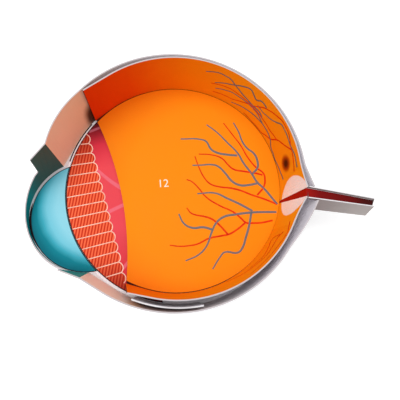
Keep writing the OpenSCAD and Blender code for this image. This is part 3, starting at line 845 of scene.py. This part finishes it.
FLOOR_ARTERIES = [
    [(41, 38), (45, 29), (49, 20), (52, 10), (56, 2), (60, -3), (60, -7), (58, -12), (52, -17)],
    [(19, 19), (27, 17), (34, 13), (37, 8), (40, 4), (47, 1), (55, -2), (59, -4)],
    [(16, 18), (17, 10), (19, 2), (22, -3), (27, -6), (36, -9), (42, -12), (48, -16),
     (55, -20), (64, -26)],
    [(7, 3), (10, 1), (14, -5), (17, -11), (25, -19), (33, -25), (37, -30), (40, -34),
     (44, -35), (50, -36), (58, -36)],
    [(-13, -38), (-7, -40), (0, -41), (5, -41), (13, -39), (21, -39), (27, -39), (33, -37),
     (39, -34)],
    [(3, -16), (5, -20), (8, -22), (13, -24), (18, -27), (22, -32), (26, -39)],
]
VEIN_HALF = 0.78
ARTERY_HALF = 0.62
PRESS = 0.3


def on_floor(points, lift=0.0):
    """Points of a drawing on the tray's floor."""
    return [tray_point(x, y, FLOOR_TOP + lift) for x, y in points]


vein_ink = printed_line("vein ink", INKS["vein"], ink(124, 116, 118))
artery_ink = printed_line("artery ink", INKS["artery"], ink(232, 66, 4))

floor_veins = finish_lines("floor_veins", [
    pen_line("vein", on_floor(points), VEIN_HALF) for points in FLOOR_VEINS
], PRESS, FLOOR_TOP)
hand_over(floor_veins, vein_ink, "retina_tray")

floor_arteries = finish_lines("floor_arteries", [
    pen_line("artery", on_floor(points, 0.02), ARTERY_HALF) for points in FLOOR_ARTERIES
], PRESS, FLOOR_TOP)
hand_over(floor_arteries, artery_ink, "retina_tray")

# %% Draw the vessels of the wall
# Points (angle, height), angles in degrees in the tray's frame and heights in millimetres
WALL_VEINS = [
    [(64, 30), (60, 32), (56, 33), (51, 32), (47, 28), (42, 24), (35, 21), (29, 21), (26, 18)],
    [(58, 21), (54, 24), (49, 27), (43, 32), (39, 34), (36, 31), (34, 29), (31, 32), (27, 31)],
    [(57, 15), (53, 17), (48, 19), (42, 19), (36, 19), (30, 18), (24, 14), (19, 13), (15, 11),
     (11, 6), (4, 4.6), (-4, 8), (-9, 11)],
    [(46, 8), (39, 11), (32, 13), (24, 14)],
    [(32, 25), (27, 24), (22, 26), (18, 30), (15, 34), (10, 34), (4, 33), (-2, 35), (-8, 35)],
]
WALL_ARTERIES = [
    [(60, 19), (54, 21), (49, 22), (42, 21), (36, 20), (30, 19), (24, 18), (18, 17), (11, 19)],
    [(58, 10), (53, 11), (46, 12), (39, 17), (33, 22), (28, 29), (23, 33), (16, 37), (10, 37),
     (6, 35), (3, 33), (-2, 32), (-9, 30)],
    [(37, 6), (30, 4.8), (22, 5), (15, 11), (11, 20), (6, 26), (2, 32)],
    [(-67, 32), (-58, 32), (-49, 34), (-41, 37), (-35, 33)],
    [(-76, 9), (-66, 18), (-54, 25), (-44, 23), (-40, 29)],
    [(-63, 16), (-54, 20), (-44, 13), (-41, 24)],
]
RIBBON = 0.14
WALL_PRESS = 0.75


def on_wall(points):
    """Points of a drawing on the inner face of the tray's wall, fine enough to follow it."""
    fine = []
    for (a0, z0), (a1, z1) in zip(points, points[1:]):
        steps = max(1, round(abs(a1 - a0) / 3.0))
        fine += [(a0 + (a1 - a0) * i / steps, z0 + (z1 - z0) * i / steps)
                 for i in range(steps)]
    fine.append(points[-1])
    return [wall_point(angle, z, RIBBON / 2.0) for angle, z in fine]


wall_veins = finish_lines("wall_veins", [
    pen_line("vein", on_wall(points), WALL_PRESS * VEIN_HALF, RIBBON) for points in WALL_VEINS
])
hand_over(wall_veins, vein_ink, "retina_tray")

wall_arteries = finish_lines("wall_arteries", [
    pen_line("artery", on_wall(points), WALL_PRESS * ARTERY_HALF, RIBBON)
    for points in WALL_ARTERIES
])
hand_over(wall_arteries, artery_ink, "retina_tray")

# %% [markdown]
# ## The net on the striped band
#
# A fine pale net lies over the stripes: a line runs across the band to each cusp of its
# scalloped edge, and an arc closes each cell. The cusps follow from the scallops' pitch, so the
# net fits the sheet that was cut with them. The lines fan out a little toward the cornea.

# %% Draw the net
NET_HALF = 0.3
lobe_radius = ((SCALLOP_PITCH / 2.0) ** 2 + SCALLOP_BULGE ** 2) / (2.0 * SCALLOP_BULGE)
lobe_x = SCALLOP_LINE + SCALLOP_BULGE - lobe_radius - 0.3
lobe_half = math.degrees(math.asin(SCALLOP_PITCH / 2.0 / lobe_radius))
scallops = int(2.0 * SCALLOP_TOP / SCALLOP_PITCH)
net_lines = []
for k in range(scallops):
    middle = SCALLOP_TOP - (k + 0.5) * SCALLOP_PITCH
    arc = [math.radians(lobe_half * (1.0 - 2.0 * i / 6.0)) for i in range(7)]
    net_lines.append(pen_line("arc", [
        Vector((lobe_x + lobe_radius * math.cos(a), middle + lobe_radius * math.sin(a),
                SHEET_TOP)) * MM for a in arc
    ], NET_HALF, taper=0.0))
    cusp = middle - SCALLOP_PITCH / 2.0
    if k < scallops - 1:
        rise = -math.tan(math.radians(3.2 + 0.09 * cusp))
        left = -math.sqrt((EYE_SHEET_RADIUS - 0.6) ** 2 - cusp ** 2)
        for _ in range(3):
            y = cusp + rise * (left - SCALLOP_LINE)
            left = -math.sqrt((EYE_SHEET_RADIUS - 0.6) ** 2 - y ** 2)
        net_lines.append(pen_line("cross line", [
            Vector((left, y, SHEET_TOP)) * MM,
            Vector(((left + SCALLOP_LINE) / 2.0, (y + cusp) / 2.0, SHEET_TOP)) * MM,
            Vector((SCALLOP_LINE - 0.3, cusp, SHEET_TOP)) * MM,
        ], NET_HALF, taper=0.0))
net = finish_lines("net", net_lines, PRESS, SHEET_TOP)
hand_over(net, printed_line("net ink", INKS["net"], ink(250, 190, 170)), "shell")

# %% [markdown]
# ## Lines on the base board
#
# A thin dark line of painted shade follows the foot of the outer wall beside the striped band,
# and a thicker dark line runs along the cornea's foot. The thick one swells in its middle, so it
# is drawn from both ends.

# %% Draw the lines beside the band
BOARD_TOP = 1.6


def arc_line(name, radius, start, stop, level, half_width, centre=(0.0, 0.0), taper=0.0):
    """A round pen line about a centre, from one angle to another."""
    steps = max(2, round(abs(stop - start) / 4.0))
    turns = [math.radians(start + (stop - start) * i / steps) for i in range(steps + 1)]
    return pen_line(name, [
        Vector((centre[0] + radius * math.cos(a), centre[1] + radius * math.sin(a), level)) * MM
        for a in turns
    ], half_width, taper=taper)


# The wall line is painted shade where the outer wall stands on the board.
board_lines = finish_lines("board_lines", [
    arc_line("wall line", 75.1, 126.0, 149.0, BOARD_TOP, 0.4),
], PRESS, BOARD_TOP)
dark_line_ink = printed_line("outline ink", INKS["dark_line"], ink(34, 22, 26))
hand_over(board_lines, dark_line_ink, "shell")

cornea_line = finish_lines("cornea_line", [
    arc_line("upper part", AQUEOUS_RADIUS + 0.2, 152.0, 178.0, BOARD_TOP, 0.8, CORNEA_CENTRE, 0.8),
    arc_line("lower part", AQUEOUS_RADIUS + 0.2, 204.0, 176.0, BOARD_TOP, 0.8, CORNEA_CENTRE, 0.8),
], PRESS, BOARD_TOP)
hand_over(cornea_line, dark_line_ink, "shell")

# %% [markdown]
# ## The number
#
# The floor carries a small label in a plain grotesque, and a plain number stands in for it
# here. It is set as text, made a mesh, and laid on the card.

# %% Set the number
NUMBER_AT = (-9.0, 3.2)
NUMBER_LEAN = 7.8
NUMBER_SIZE = 7.6

bpy.ops.object.select_all(action="DESELECT")
bpy.ops.object.text_add(location=tray_point(*NUMBER_AT, FLOOR_TOP + 0.01),
                        rotation=(0.0, 0.0, math.radians(TRAY_TURN - NUMBER_LEAN)))
number = bpy.context.object
number.name = "number"
number.data.body = "12"
number.data.align_x = "CENTER"
number.data.align_y = "CENTER"
number.data.size = NUMBER_SIZE * MM
number.data.extrude = 0.03 * MM
bpy.ops.object.convert(target="MESH")
number = bpy.context.object
bpy.ops.object.transform_apply(location=True, rotation=True, scale=True)
hand_over(number, printed_line("number ink", INKS["number"], ink(255, 236, 214)),
      "retina_tray")

# %% [markdown]
# ## Table, light and camera
#
# The model lies on a white table under one broad, soft lamp, so its shadows are faint and have
# soft edges. The world gives an even half light. What the camera sees of it is full white,
# which is a matter for the backdrop alone and adds no light to the card.

# %% Set up the even light
world = bpy.data.worlds.new("studio")
bpy.context.scene.world = world
world.use_nodes = True
world.node_tree.nodes["Background"].inputs[0].default_value = (1.0, 1.0, 1.0, 1.0)
def seen_straight(tree):
    """1 for what the camera sees itself, or in a gloss or through glass; 0 for plain light."""
    rays = add(tree, "ShaderNodeLightPath").outputs
    mirrored = maths(tree, "MAXIMUM", rays["Is Glossy Ray"], rays["Is Transmission Ray"])
    return maths(tree, "MAXIMUM", rays["Is Camera Ray"], mirrored)


WORLD_LIGHT = 0.5
backdrop = maths(world.node_tree, "MULTIPLY_ADD", seen_straight(world.node_tree),
                 1.0 - WORLD_LIGHT, WORLD_LIGHT)
world.node_tree.links.new(backdrop, world.node_tree.nodes["Background"].inputs["Strength"])

print("even light:", WORLD_LIGHT, "of white")

# %% Lay the table
TABLE_SIZE = 4.0
TABLE_DROP = 0.0002
TABLE_GLOW = 0.25

bpy.ops.mesh.primitive_plane_add(size=TABLE_SIZE, location=(0.0, 0.0, -TABLE_DROP))
floor = bpy.context.object
floor.name = "table"
white, tree, shader = new_material("table white")
shader.inputs["Base Color"].default_value = (1.0, 1.0, 1.0, 1.0)
shader.inputs["Roughness"].default_value = 0.9
shader.inputs["Emission Color"].default_value = (1.0, 1.0, 1.0, 1.0)
tree.links.new(maths(tree, "MULTIPLY", seen_straight(tree), TABLE_GLOW),
               shader.inputs["Emission Strength"])
floor.data.materials.append(white)
print("table:", TABLE_SIZE, "m wide")

# %% Hang the lamp
LAMP_AT = (-0.15, 0.12, 1.0)

bpy.ops.object.light_add(type="AREA", location=LAMP_AT)
key = bpy.context.object
key.data.size = 0.9
key.data.energy = 7.0
key.rotation_euler = (Vector((0.0, 0.0, 0.0)) - key.location).to_track_quat("-Z", "Y").to_euler()
print("lamp:", key.data.energy, "W,", key.data.size, "m wide")

# %% Aim the camera
CAMERA_AT = (-26.0, -56.4, 265.4)
CAMERA_SPIN = math.radians(-16.5)
CAMERA_ROLL = -0.0897
CAMERA_TILT = 0.2066

bpy.ops.object.camera_add()
camera = bpy.context.object
camera.matrix_world = (
    Matrix.Translation(Vector(CAMERA_AT) * MM)
    @ Matrix.Rotation(CAMERA_SPIN, 4, "Z")
    @ Matrix.Rotation(CAMERA_ROLL, 4, "Y")
    @ Matrix.Rotation(CAMERA_TILT, 4, "X")
)
camera.data.lens = 36.0
camera.data.sensor_width = 36.0
camera.data.clip_start = 0.01
bpy.context.scene.camera = camera
bpy.context.scene.view_settings.view_transform = "Standard"

print("camera:", CAMERA_AT[2], "mm above the table")
